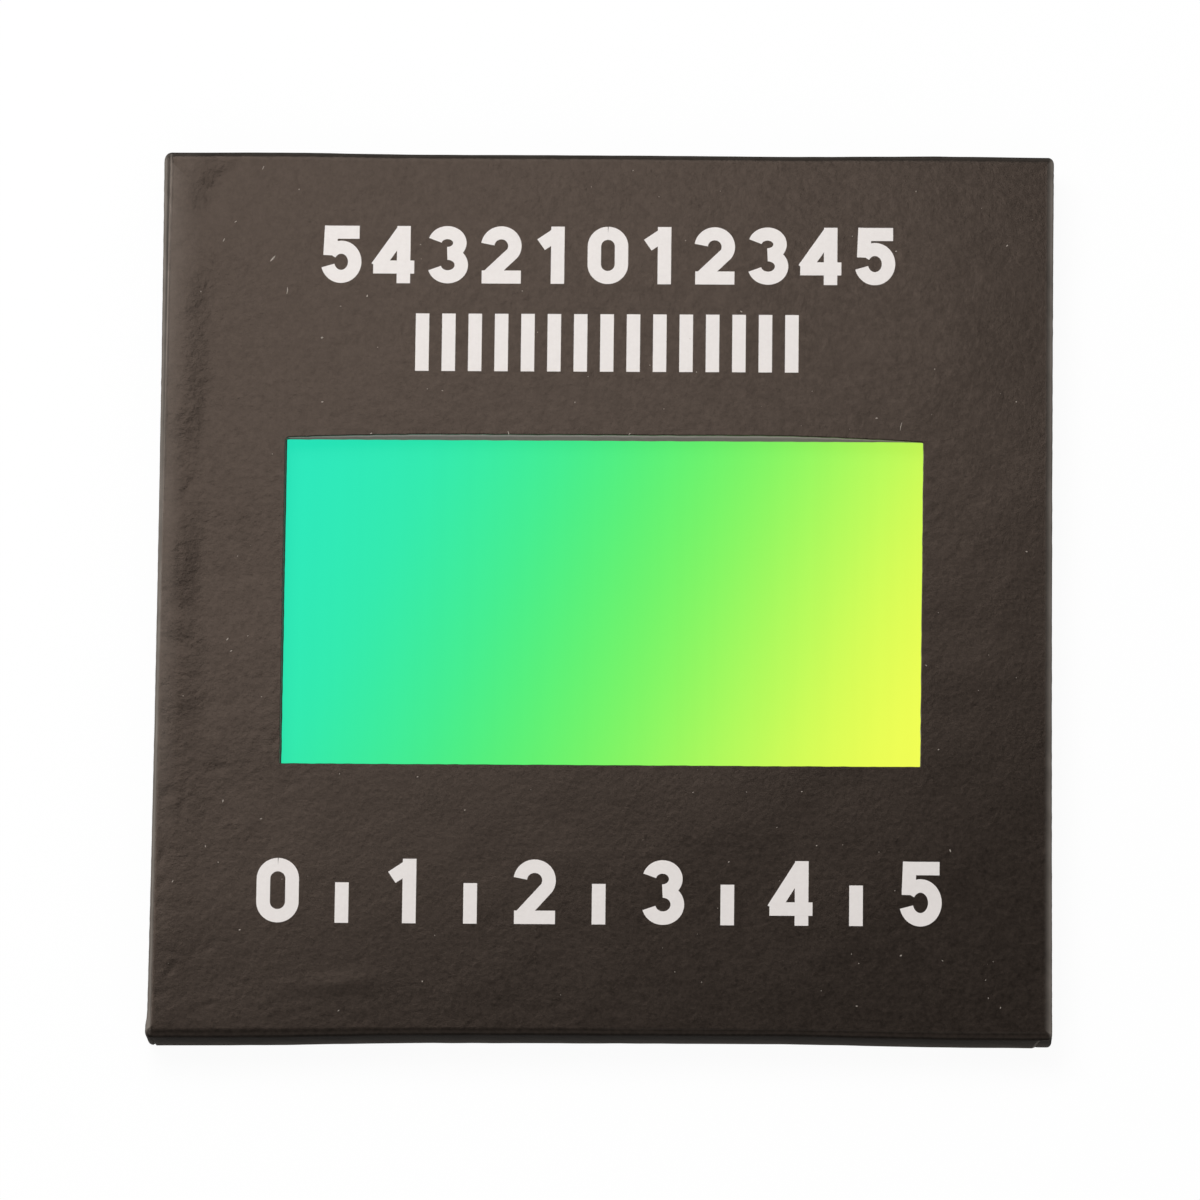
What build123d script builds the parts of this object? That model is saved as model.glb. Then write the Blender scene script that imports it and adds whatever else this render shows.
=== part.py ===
"""Transmission grating film in a square card mount, lying on its back.

Two greyboards with a die-cut window hold a strip of ruled film between them.
A sheet of dark laminated paper covers the front, folds round the four edges
and is turned in on the back, where a plain paper liner hides its raw edges.

Millimetres. +X is the print's right, +Y its top and +Z points out of the front.
The origin is the middle of the back, on the surface that the card lies on.
"""
import os

from build123d import *

# Boards
board_side = 70.0
board_thickness = 2.0
board_corner_radius = 0.4
board_edge_radius = 0.3

# Window, die-cut through the boards and both papers
window_width = 50.0
window_height = 26.5
window_shift_x = -0.1
window_shift_y = -0.7

# Film, and the adhesive sheet that joins the boards around it
film_thickness = 0.12
film_overlap = 5.0
film_clearance = 0.25

# Cover paper
cover_thickness = 0.18
turn_in_width = 12.0
mitre_gap = 0.3
mitre_end = 1.2

# Corner tucks: paper of the left and right walls goes round each corner and
# under the end of the top or bottom flap, which stands proud there
tuck_reveal = 0.9
tuck_slant = 0.4
tuck_length = 5.0
tuck_fade = 11.0

# Liner on the back
liner_thickness = 0.14
liner_margin = 2.0
liner_step_clearance = 0.05
liner_step_run = 0.5

# Heights of the layers, from the surface that the card lies on
turn_in_bottom = liner_thickness
back_board_bottom = turn_in_bottom + cover_thickness
film_bottom = back_board_bottom + board_thickness
front_board_bottom = film_bottom + film_thickness
front_board_top = front_board_bottom + board_thickness
card_top = front_board_top + cover_thickness

# Sizes that follow from the ones above
card_width = board_side + 2 * cover_thickness
cover_edge_radius = board_edge_radius + cover_thickness
cover_corner_radius = board_corner_radius + cover_thickness
turn_in_opening = card_width - 2 * turn_in_width
wall_root = card_width / 2 - 2 * cover_edge_radius
film_width = window_width + 2 * film_overlap
film_height = window_height + 2 * film_overlap
through = 4 * card_top


def slab(width, depth, bottom, top, x=0.0, y=0.0):
    """Flat block between two heights, centred on x and y."""
    align = (Align.CENTER, Align.CENTER, Align.MIN)
    return Pos(x, y, bottom) * Box(width, depth, top - bottom, align=align)


def rounded_block(side, bottom, top, corner, back=0.0, front=0.0):
    """Square block with rounded corners and, where asked, rounded rims."""
    block = slab(side, side, bottom, top)
    block = fillet(block.edges().filter_by(Axis.Z), corner)
    if back:
        block = fillet(block.faces().sort_by(Axis.Z)[0].edges(), back)
    if front:
        block = fillet(block.faces().sort_by(Axis.Z)[-1].edges(), front)
    return block


def window_cut():
    """The die's path: a straight hole through every layer but the film."""
    return slab(
        window_width, window_height, -through, through, window_shift_x, window_shift_y
    )


def front_board():
    """Greyboard under the front cover, its front rim crushed by the wrapping."""
    block = rounded_block(
        board_side,
        front_board_bottom,
        front_board_top,
        board_corner_radius,
        front=board_edge_radius,
    )
    return block - window_cut()


def back_board():
    """Greyboard behind the film, its back rim crushed by the wrapping."""
    block = rounded_block(
        board_side,
        back_board_bottom,
        film_bottom,
        board_corner_radius,
        back=board_edge_radius,
    )
    return block - window_cut()


def grating_film():
    """Ruled film, held all round between the boards and seen in the window."""
    return slab(
        film_width,
        film_height,
        film_bottom,
        front_board_bottom,
        window_shift_x,
        window_shift_y,
    )


def adhesive_sheet():
    """Adhesive sheet as thick as the film, which joins the boards around it."""
    sheet = rounded_block(
        board_side, film_bottom, front_board_bottom, board_corner_radius
    )
    pocket = slab(
        film_width + 2 * film_clearance,
        film_height + 2 * film_clearance,
        -through,
        through,
        window_shift_x,
        window_shift_y,
    )
    return sheet - pocket


def wall_section(x, proud):
    """Outline of a flap's wall across the card at x, standing proud by so much.

    It starts in the card, runs out along the front, down the wall between two
    rounded folds, and back along the back.
    """
    outer = card_width / 2 + proud
    radius = cover_edge_radius
    bend = radius * 0.5**0.5
    front_middle = (outer - radius + bend, card_top - radius + bend)
    back_middle = (outer - radius + bend, turn_in_bottom + radius - bend)
    outline = Line((wall_root, card_top), (outer - radius, card_top))
    outline += ThreePointArc(
        (outer - radius, card_top), front_middle, (outer, card_top - radius)
    )
    outline += Line((outer, card_top - radius), (outer, turn_in_bottom + radius))
    outline += ThreePointArc(
        (outer, turn_in_bottom + radius), back_middle, (outer - radius, turn_in_bottom)
    )
    outline += Line((outer - radius, turn_in_bottom), (wall_root, turn_in_bottom))
    outline += Line((wall_root, turn_in_bottom), (wall_root, card_top))
    plane = Plane(origin=(x, 0, 0), x_dir=(0, 1, 0), z_dir=(1, 0, 0))
    return plane * make_face(outline)


def flap_zone():
    """Room of the top flap's wall, between the slanted seams at its two ends."""
    front_half = card_width / 2 - tuck_reveal
    back_half = front_half - tuck_slant
    seams = Polyline(
        (-front_half, card_top),
        (front_half, card_top),
        (back_half, turn_in_bottom),
        (-back_half, turn_in_bottom),
        close=True,
    )
    plane = Plane(origin=(0, wall_root, 0), x_dir=(1, 0, 0), z_dir=(0, -1, 0))
    return extrude(plane * make_face(seams), -card_width / 2)


def flap_wall():
    """Wall of the top flap: single in the middle, riding over a tuck at each end."""
    seam = card_width / 2 - tuck_reveal
    proud_end = seam - tuck_length
    fade_end = proud_end - tuck_fade
    stations = [
        (-seam, cover_thickness),
        (-proud_end, cover_thickness),
        (-fade_end, 0.0),
        (fade_end, 0.0),
        (proud_end, cover_thickness),
        (seam, cover_thickness),
    ]
    wall = loft([wall_section(x, proud) for x, proud in stations], ruled=True)
    return wall & flap_zone()


def mitre_slot(angle):
    """Gap between two turn-ins at one corner of the back."""
    start = turn_in_opening / 2 * 2**0.5
    end = (card_width / 2 - mitre_end) * 2**0.5
    slot = slab(
        end - start + mitre_gap, mitre_gap, 0.0, back_board_bottom, (start + end) / 2
    )
    return Rot(0, 0, angle) * slot


def cover_paper():
    """The folded cover: front, four walls, corner tucks and mitred turn-ins."""
    cover = rounded_block(
        card_width,
        turn_in_bottom,
        card_top,
        cover_corner_radius,
        back=cover_edge_radius,
        front=cover_edge_radius,
    )
    for turn in (0, 180):
        cover -= Rot(0, 0, turn) * flap_zone()
        cover += Rot(0, 0, turn) * flap_wall()
    cover -= rounded_block(
        board_side,
        back_board_bottom,
        front_board_top,
        board_corner_radius,
        back=board_edge_radius,
        front=board_edge_radius,
    )
    cover -= window_cut()
    cover -= slab(turn_in_opening, turn_in_opening, 0.0, back_board_bottom)
    for angle in (45, 135, 225, 315):
        cover -= mitre_slot(angle)
    return cover


def under_liner(rise):
    """Everything below one face of the liner, which steps up inside the turn-ins."""
    outer = card_width - 2 * liner_margin
    step_outer = turn_in_opening - 2 * liner_step_clearance
    step_inner = step_outer - 2 * liner_step_run
    base = slab(outer, outer, rise - through, rise)
    foot = Pos(0, 0, rise) * Rectangle(step_outer, step_outer)
    head = Pos(0, 0, rise + cover_thickness) * Rectangle(step_inner, step_inner)
    return base + loft([foot, head], ruled=True)


def back_liner():
    """Paper liner glued over the turn-ins and the bare board between them."""
    liner = under_liner(liner_thickness) - under_liner(0.0)
    outer = card_width - 2 * liner_margin
    liner &= slab(outer, outer, 0.0, back_board_bottom)
    return liner - window_cut()


parts = {
    "cover_paper": cover_paper,
    "front_board": front_board,
    "adhesive_sheet": adhesive_sheet,
    "grating_film": grating_film,
    "back_board": back_board,
    "back_liner": back_liner,
}

os.makedirs("parts", exist_ok=True)
for node, make in parts.items():
    solid = make()
    export_step(solid, f"parts/{node}.step")
    size = solid.bounding_box().size
    print(f"{node}: {size.X:.2f} x {size.Y:.2f} x {size.Z:.2f} mm, {solid.volume:.1f} mm3")
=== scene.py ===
# %% [markdown]
# A grating film in a card mount, dressed for its portrait
#
# The real object is a small piece of bookbinding. Two greyboards hold a ruled
# film between them, a dark laminated paper is wrapped over the front and its
# edges are turned in on the back. Every layer is a ring round one window, so
# one idea makes nearly all of the shapes here: a ring that runs round the card,
# carried through a profile. We load the measured model, which stays as it is,
# and dress it layer by layer.

# %% Load the measured model
import math

import bpy
import numpy as np
from mathutils import Matrix, Vector


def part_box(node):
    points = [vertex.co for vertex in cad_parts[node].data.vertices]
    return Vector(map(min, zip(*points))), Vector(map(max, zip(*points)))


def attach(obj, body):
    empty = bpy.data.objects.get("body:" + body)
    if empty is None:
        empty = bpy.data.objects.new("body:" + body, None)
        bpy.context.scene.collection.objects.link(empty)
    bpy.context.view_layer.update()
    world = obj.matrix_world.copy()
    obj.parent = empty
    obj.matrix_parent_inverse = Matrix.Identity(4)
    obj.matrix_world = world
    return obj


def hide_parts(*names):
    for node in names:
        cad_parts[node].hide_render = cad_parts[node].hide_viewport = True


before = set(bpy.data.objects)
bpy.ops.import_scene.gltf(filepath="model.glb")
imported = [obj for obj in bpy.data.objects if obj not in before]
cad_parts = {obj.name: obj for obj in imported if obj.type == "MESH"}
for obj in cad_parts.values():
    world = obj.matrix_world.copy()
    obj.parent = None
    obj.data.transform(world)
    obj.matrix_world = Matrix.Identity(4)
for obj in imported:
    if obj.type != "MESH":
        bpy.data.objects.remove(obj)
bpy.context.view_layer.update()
print("layers:", sorted(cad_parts))

# %% [markdown]
# All sizes below are millimetres, read from the measured model where it holds
# them: the cover gives the outside, cover and board the paper's thickness, and
# the film the window, which it passes by as much on all four sides.

# %% Read the sizes
def layer_box(node):
    """Lowest and highest corner of a layer, as two arrays in millimetres."""
    low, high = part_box(node)
    return np.array(low) * 1000, np.array(high) * 1000


cover_low, cover_high = layer_box("cover_paper")
board_low, board_high = layer_box("front_board")
film_low, film_high = layer_box("grating_film")
liner_low, liner_high = layer_box("back_liner")
back_low, back_high = layer_box("back_board")

PAPER = cover_high[2] - board_high[2]
TOP = cover_high[2]
BOTTOM = cover_low[2]
HALF = cover_high[0]
FILM_OVERLAP = 5.0
# the die's cut lies a hair off the measured one, and is a hair wider and lower
CUT_SHIFT = (-0.01, 0.048)
CUT_GROWTH = (0.02, -0.033)
WINDOW_CENTRE = (film_low[:2] + film_high[:2]) / 2 + CUT_SHIFT
WINDOW_HALF = (film_high[:2] - film_low[:2]) / 2 - FILM_OVERLAP + CUT_GROWTH
print(f"card {2 * HALF:.2f} mm wide, paper {PAPER:.2f} mm thick")
print(f"window {2 * WINDOW_HALF[0]:.1f} x {2 * WINDOW_HALF[1]:.1f} mm")

# %% [markdown]
# A mesh here is always a grid of points, computed as one numpy array. Closed on
# itself in both directions, such a grid is a ring with a skin all round; closed
# in one, it is a bar with capped ends.

# %% Turn point grids into meshes
def grid_faces(rows, columns, wrap_rows=False, wrap_columns=False):
    """Corner numbers of the quads of a grid, row by row."""
    number = np.arange(rows * columns).reshape(rows, columns)
    if wrap_rows:
        number = np.vstack([number, number[:1]])
    if wrap_columns:
        number = np.hstack([number, number[:, :1]])
    quads = [number[:-1, :-1], number[:-1, 1:], number[1:, 1:], number[1:, :-1]]
    return np.stack(quads, axis=-1).reshape(-1, 4)


def capped(grid):
    """Points and faces of flat loops carried along a path, closed at both ends.

    Each loop goes across above, and back below through as many points.
    """
    count, loop = grid.shape[:2]
    body = grid_faces(count, loop, wrap_columns=True)[:, ::-1]
    step = np.arange(loop // 2 - 1)
    cap = np.stack([step, step + 1, loop - step - 2, loop - step - 1], axis=1)
    far = cap + (count - 1) * loop
    return grid.reshape(-1, 3), np.concatenate([body, cap, far[:, ::-1]])


def joined(shapes):
    """Points and faces of several closed shapes, made one."""
    points, faces, first = [], [], 0
    for shape_points, shape_faces in shapes:
        points.append(shape_points)
        faces.append(shape_faces + first)
        first += len(shape_points)
    return np.concatenate(points), np.concatenate(faces)


def new_object(name, data):
    """Object with this data, linked to the scene."""
    thing = bpy.data.objects.new(name, data)
    bpy.context.scene.collection.objects.link(thing)
    return thing


def add_piece(name, points, faces, material, slot, wear_and_sheen=None):
    """Make an object from points in millimetres and let it ride on the card.

    It is shaded smooth but for edges over 50 degrees. A value of wear and painted
    sheen for each point, where given, is left for the finish to read.
    """
    mesh = bpy.data.meshes.new(name)
    mesh.from_pydata((np.asarray(points) / 1000).tolist(), [], faces.tolist())
    mesh.polygons.foreach_set("use_smooth", np.full(len(faces), True))
    mesh.materials.append(material)
    mesh.update(calc_edges=True)
    mesh.set_sharp_from_angle(angle=math.radians(50))
    if wear_and_sheen is not None:
        mesh.attributes.new("wear_and_sheen", "FLOAT", "POINT").data.foreach_set("value", wear_and_sheen)
    piece = new_object(name, mesh)
    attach(piece, "root")
    print(f"{name}: {len(points)} points, {len(faces)} faces")
    return piece


print("faces of a closed 3 by 4 grid:", len(grid_faces(3, 4, True, True)))

# %% [markdown]
# Nothing made of paper is perfectly even. A value noise gives soft lumps of a
# chosen size: random heights on a square lattice, blended smoothly between
# the lattice points. The seeds are fixed, so every run gives the same card.

# %% Soft lumps and soft steps
LATTICE = 128


def smooth_step(low, high, value):
    """0 before low, 1 after high, and the curve 3t2 - 2t3 between them."""
    t = np.clip((value - low) / (high - low), 0, 1)
    return t * t * (3 - 2 * t)


def lumps(x, y, size, seed):
    """Value noise between -1 and 1 with lumps about size apart."""
    lattice = np.random.default_rng(seed).uniform(-1, 1, (LATTICE, LATTICE))
    x, y = x / size + LATTICE / 2, y / size + LATTICE / 2
    column, row = np.floor(x).astype(int), np.floor(y).astype(int)
    tx, ty = smooth_step(0, 1, x - column), smooth_step(0, 1, y - row)
    column, row = column % LATTICE, row % LATTICE
    right, above = (column + 1) % LATTICE, (row + 1) % LATTICE
    lower = lattice[row, column] * (1 - tx) + lattice[row, right] * tx
    upper = lattice[above, column] * (1 - tx) + lattice[above, right] * tx
    return lower * (1 - ty) + upper * ty


print("soft step at a quarter of its way:", smooth_step(0, 1, 0.25))

# %% [markdown]
# The path that every layer follows is a square with rounded corners. A point
# runs round a sharp square of half size one, the core, and a unit normal points
# out from it. A rounded rectangle is core times (half size minus radius) plus
# normal times radius. All rings share this core, so one can blend into another.

# %% Walk round the card
class Path:
    """Core points, outward normals and corner shares of a walk round a square."""

    def __init__(self, side_steps, corner_steps, crowding):
        # the points crowd towards a side's ends: a ramp blended with a sine
        ramp = np.linspace(-1, 1, side_steps + 1)
        along = (1 - crowding) * ramp + crowding * np.sin(ramp * np.pi / 2)
        bend = np.linspace(0, np.pi / 2, corner_steps + 1)[1:-1]
        core, angle, share = [], [], []
        for quarter in range(4):
            turn = quarter * np.pi / 2
            c, s = round(np.cos(turn)), round(np.sin(turn))
            core.append(np.stack([c - s * along, s + c * along], axis=1))
            core.append(np.tile([c - s, s + c], (len(bend), 1)))
            angle += [np.full(len(along), turn), turn + bend]
            ends = np.zeros((len(along), 4))
            ends[:, quarter] = (1 + along) / 2
            ends[:, quarter - 1] = (1 - along) / 2
            corner = np.zeros((len(bend), 4))
            corner[:, quarter] = 1
            share += [ends, corner]
        self.core = np.concatenate(core)
        angle = np.concatenate(angle)
        self.normal = np.stack([np.cos(angle), np.sin(angle)], axis=1)
        self.share = np.concatenate(share)
        self.size = len(angle)

    def ring(self, half, radius, centre=(0.0, 0.0)):
        """Rounded rectangle: core (half - radius) + normal radius, at a centre.

        half is (x, y); radius is one number, or four for the four corners.
        """
        radii = self.share @ np.broadcast_to(radius, 4)
        half = np.broadcast_to(half, 2)
        core = self.core * (half - radii[:, None])
        return core + self.normal * radii[:, None] + np.asarray(centre)


fine = Path(side_steps=196, corner_steps=9, crowding=0.86)
coarse = Path(side_steps=90, corner_steps=5, crowding=0.6)
print("points round the card:", fine.size)

# %% [markdown]
# The die left three clean edges, but along the window's top the front lip leans
# over the film towards both ends, so the grey board shows there as a long thin
# sliver. The layers between the lip and the film take a share of this lean.

# %% The window's cut
CUT_CORNER = 0.05
LIP_CORNER = np.array([0.1, 0.32, 0.1, 0.1])
LEAN_MIDDLE = 0.03
LEAN_START = 12.0
LEAN_RIGHT = 0.48
LEAN_LEFT = 0.29
LEAN_POWER = 1.7
LEAN_REACH = 1.05
CUT_RAGGED = 0.018
CUT_LUMP = 0.9
RIGHT_SLANT = 0.07


def window_ring(path, grow=0.0, lean=0.0):
    """Outline of the window, grown outwards and leaning by a share of the lean.

    The lean lowers the top edge by a power of how far x is past its start. The
    right edge slants: it moves out in proportion to y.
    """
    radius = CUT_CORNER + (LIP_CORNER - CUT_CORNER) * lean + grow
    ring = path.ring(WINDOW_HALF + grow, radius, WINDOW_CENTRE)
    x, y = ring[:, 0], ring[:, 1]
    past = (np.abs(x) - LEAN_START) / (WINDOW_HALF[0] - LEAN_START)
    past = np.clip(past, 0, LEAN_REACH) ** LEAN_POWER
    depth = np.where(x > 0, LEAN_RIGHT, LEAN_LEFT) * past
    upper = smooth_step(0, WINDOW_HALF[1], y - WINDOW_CENTRE[1])
    ragged = lumps(x * 1.3 + y, y * 1.3 - x, CUT_LUMP, 5) * CUT_RAGGED
    ring = ring + path.normal * ragged[:, None]
    ring[:, 1] -= lean * (LEAN_MIDDLE + depth) * upper
    on_right = smooth_step(0, WINDOW_HALF[0], x - WINDOW_CENTRE[0])
    ring[:, 0] += RIGHT_SLANT * on_right * (y - WINDOW_CENTRE[1]) / WINDOW_HALF[1]
    return ring


lip = window_ring(fine, lean=1.0)[:, 1]
print(f"the front's window reaches from y = {lip.min():.2f} to {lip.max():.2f} mm")

# %% [markdown]
# At each corner the paper of a side wall is tucked under the end of the top or
# bottom flap. The flaps stand one paper thickness proud there, and the walls
# between are drawn in a little by the drying glue. `wall_push` says how far
# each point of a wall lies outside the plain square.

# %% Walls, flaps and tucks
# corner radii: upper right, upper left, lower left, lower right
CORNER_RADIUS = np.array([0.45, 0.6, 0.34, 0.4])
FOLD = 0.48
# how far a wall stands out, how much more at its top or right end, and its bow
LEFT_WALL = (-0.035, 0.028, -0.13)
RIGHT_WALL = (-0.008, 0.018, -0.08)
TOP_WALL = (-0.02, -0.077, 0.17)
BOTTOM_WALL = (0.11, -0.12, -0.1)
PROUD_FADE = (13.0, 28.0)
# each flap end, by its sides in x and y: how far its cut is from the corner at
# the fold and at the back, the height it is open below, and the tuck's depth
TUCKS = {
    (1, 1): (0.8, 1.1, 4.0, 0.8),
    (-1, 1): (0.7, 1.0, 4.0, 0.8),
    (-1, -1): (0.42, 0.5, 4.15, 0.3),
    (1, -1): (0.84, 1.4, 4.1, 0.4),
}
TUCK_EDGE = 0.035
OPENING_EDGE = 0.15
SEAM_DEPTH = 0.13
SEAM_WIDTH = 0.06
# the left wall bulges at the lower corner, below these steps in y and height
BULGE = 0.15
BULGE_Y = (-33.4, -34.9)
BULGE_Z = (4.5, 3.9)
WALL_WRINKLE = 0.012


def tuck_shares(x, z, side_x, side_y):
    """Share beyond a flap's slanted cut, share below its opening, gap to the cut."""
    at_fold, at_back, open_below, _ = TUCKS[side_x, side_y]
    down = (TOP - z) / (TOP - BOTTOM)
    gap = x * side_x - (HALF - at_fold - (at_back - at_fold) * down)
    below = smooth_step(-OPENING_EDGE, OPENING_EDGE, open_below - z)
    return smooth_step(-TUCK_EDGE, TUCK_EDGE, gap), below, gap


def wall_curve(shape, along):
    """How far a wall stands out: a + b t + c (1 - t^2), with t from -1 to 1."""
    t = np.clip(along / HALF, -1, 1)
    return shape[0] + shape[1] * t + shape[2] * (1 - t * t)


def wall_push(path, plan, z):
    """Distance of the wall outside the plain square, in the wall's own direction.

    Top and bottom add the flap to their curve: one paper thickness near the
    corners, less beyond the tuck's cut, with a Gaussian groove along the cut.
    """
    x, y = plan[:, 0], plan[:, 1]
    across, up = path.normal[:, 0], path.normal[:, 1]
    side = np.where(across > 0, wall_curve(RIGHT_WALL, y), wall_curve(LEFT_WALL, y))
    end = np.where(up > 0, wall_curve(TOP_WALL, x), wall_curve(BOTTOM_WALL, x))
    push = side * across**2
    push += end * up**2
    proud = smooth_step(*PROUD_FADE, np.abs(x))
    for (side_x, side_y), (*_, depth) in TUCKS.items():
        here = (x * side_x > 0) & (y * side_y > 0)
        beyond, below, gap = tuck_shares(x, z, side_x, side_y)
        flap = PAPER * proud * (1 - depth * beyond * below)
        seam = SEAM_DEPTH * below * np.exp(-((gap / SEAM_WIDTH) ** 2))
        push += np.where(here, flap - seam, 0) * up**2
    corner = smooth_step(*BULGE_Y, y) * smooth_step(*BULGE_Z, z)
    push += BULGE * corner * np.where(across < 0, across**2, 0)
    return push + WALL_WRINKLE * lumps(x + 7 * y, x * 0 + z * 2.0, 1.6, 11)


pushed = wall_push(fine, fine.ring(HALF, CORNER_RADIUS), TOP / 2)
print(f"the walls lie {pushed.min():.2f} to {pushed.max():.2f} mm outside the square")

# %% [markdown]
# The front isn't flat either. Along the left edge the paper was pulled round
# the board while the glue was wet: a thin bead marks the fold, and a shallow
# dip with small slanting puckers runs beside it. They are a few hundredths of
# a millimetre high, and only the light that they bend is seen.

# %% Bead and dip along the left edge
BEAD_HEIGHT = 0.04
BEAD_WIDTH = 0.07
BEAD_AT = 0.44
BEAD_LEAN = 0.14
# the groove outside the bead: its share of the bead, and its place in widths
GROOVE_SHARE = 0.7
GROOVE_AT = 2.4
DIP_DEPTH = 0.15
DIP_WIDTH = 2.7
DIP_WANDER = 0.22
DIP_UNEVEN = 0.2
RIM_SHARE = 0.7
HOLLOW_SHARE = 0.3
HOLLOW_RISE = (4, 14)
# along the left edge: y, how far in the dip lies, and how deep it is
DIP = np.array([
    (-36, 3, 0.1), (-14, 3, 0.15), (-10, 3.1, 0.3), (-8.6, 3, 0.6),
    (-5.4, 3, 0.6), (-4.2, 2.9, 0.4), (-3, 2.8, 0.75), (0, 2.75, 1),
    (5.4, 2.75, 1), (6.6, 2.6, 0.5), (9.3, 2.5, 0.4), (11.6, 2.6, 0.6),
    (13, 2.8, 1), (19, 2.9, 1), (21, 3, 0.9), (25, 3.1, 0.8),
    (26.5, 3.1, 0.3), (36, 3.2, 0.2),
])


def bead_line(y):
    """x of the bead, which leans away from the edge towards the top."""
    return -HALF + BEAD_AT + BEAD_LEAN * y / HALF


def left_edge_relief(x, y):
    """Bead on the fold, and a step down beside it that comes and goes.

    The bead is a Gaussian ridge with a Gaussian groove outside it. A smooth
    step leads from a raised rim into a hollow, by a depth from the table.
    """
    gap = (x - bead_line(y)) / BEAD_WIDTH
    groove = GROOVE_SHARE * np.exp(-((gap + GROOVE_AT) ** 2))
    bead = BEAD_HEIGHT * (np.exp(-(gap**2)) - groove)
    edge = HALF + x + DIP_WANDER * lumps(y, y * 0, 1.7, 21)
    middle = np.interp(y, DIP[:, 0], DIP[:, 1])
    uneven = 1 + DIP_UNEVEN * lumps(y, y * 0 + 9, 1.2, 22)
    strength = np.interp(y, DIP[:, 0], DIP[:, 2]) * uneven
    fall = smooth_step(middle - DIP_WIDTH / 2, middle + DIP_WIDTH / 2, edge)
    hollow = HOLLOW_SHARE * fall * (1 - smooth_step(*HOLLOW_RISE, edge))
    return bead + DIP_DEPTH * strength * (RIM_SHARE * (1 - fall) - hollow)


print("bead inside the left edge, mm:", BEAD_AT)
# %% Creases and puckers
# the larger creases: place, angle, length, width and depth
CREASES = [
    ((-31.4, 31.6), 1.15, 2.8, 1.2, 0.09),
    ((-29.9, 33.6), 0.5, 2.2, 0.85, 0.035),
    ((-32.6, 8.2), 0.95, 1.4, 0.35, 0.03),
    ((-30, -14.4), 0.2, 0.9, 0.3, 0.02),
    ((-34, -16.3), 0.15, 0.9, 0.25, 0.02),
    ((-20.5, -31.3), 0.08, 3.4, 0.55, -0.02),
]
PUCKERS = 46


def crease(x, y, at, angle, length, width, depth):
    """A groove: a Gaussian across it, and another, longer one along it."""
    dx, dy = x - at[0], y - at[1]
    along = dx * math.cos(angle) + dy * math.sin(angle)
    across = dy * math.cos(angle) - dx * math.sin(angle)
    return -depth * np.exp(-((along / length) ** 2) - (across / width) ** 2)


def puckers(x, y):
    """The large creases and many short slanting ones, near the left edge."""
    draw = np.random.default_rng(31)
    total = sum(crease(x, y, *marks) for marks in CREASES)
    for _ in range(PUCKERS):
        reach = draw.exponential(2.2) + 0.9
        at = (-HALF + reach, draw.uniform(-33, 33))
        angle = draw.normal(0.7, 0.45)
        length, width = draw.uniform(0.5, 1.4), draw.uniform(0.14, 0.3)
        total += crease(x, y, at, angle, length, width, draw.uniform(0.004, 0.014))
    return total


def front_relief(x, y):
    """Height of the front: slow swells, fine lumps and the above."""
    swell = 0.02 * lumps(x, y, 9.0, 41) + 0.008 * lumps(x, y, 3.1, 42)
    fine_lumps = 0.0022 * lumps(x + 0.6 * y, 2.2 * (y - 0.6 * x), 1.3, 43)
    return swell + fine_lumps + left_edge_relief(x, y) + puckers(x, y)


sample = np.linspace(-HALF, HALF, 80)
heights = front_relief(*np.meshgrid(sample, sample))
print(f"relief of the front: {heights.min():.3f} to {heights.max():.3f} mm")

# %% [markdown]
# Each piece is given its finish as it is made, so the finishes come first. A
# small class wires the shader nodes: it adds a node and fills its inputs, makes
# a noise on Object coordinates, which are metres, blends colours, and lays
# bumps over each other.

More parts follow.
